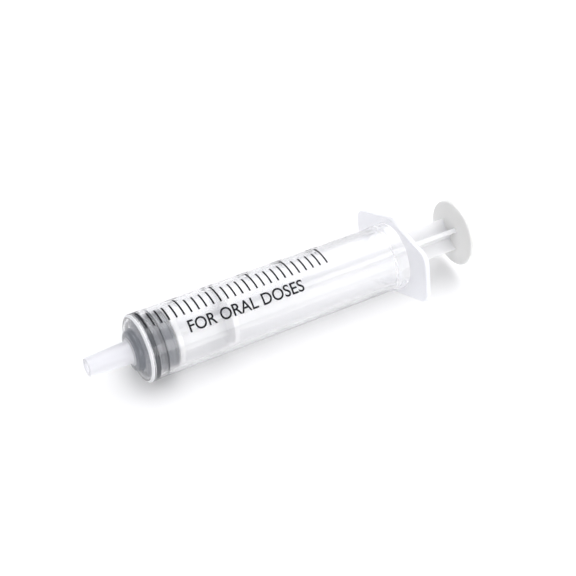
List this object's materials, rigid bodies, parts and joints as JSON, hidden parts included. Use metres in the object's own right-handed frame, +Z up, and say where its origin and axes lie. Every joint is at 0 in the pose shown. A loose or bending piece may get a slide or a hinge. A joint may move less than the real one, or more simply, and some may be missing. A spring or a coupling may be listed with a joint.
{
  "type": "oral syringe",
  "caption": "Clear plastic oral syringe lying on a table, with a slip tip, a finger flange, a rubber piston and a cross-ribbed plunger rod pushed fully in.",
  "frame": {"origin": "on the table, under the middle of the box that the resting syringe fills", "axes": "+X along the table from the tip towards the thumb rest, +Z up, +Y across the barrel"},
  "size_m": [0.0886, 0.0278, 0.0174],
  "materials": {
    "clear_plastic": "clear moulded polypropylene, slightly frosted, glossy",
    "grey_rubber": "moulded rubber, lightly lubricated, satin",
    "white_plastic": "translucent white moulded polypropylene, satin"
  },
  "bodies": {
    "barrel": {"barrel": "clear_plastic"},
    "piston": {"piston": "grey_rubber"},
    "plunger_rod": {"plunger_rod": "white_plastic"}
  },
  "joints": [
    {"name": "piston_slide", "type": "slide", "parent": "barrel", "child": "piston", "axis": [0.9997, 0, 0.0244], "range_m": [0, 0.051]},
    {"name": "rod_twist", "type": "hinge", "parent": "piston", "child": "plunger_rod", "pos_m": [-0.02683, 0, 0.00735], "axis": [0.9997, 0, 0.0244], "continuous": true}
  ]
}
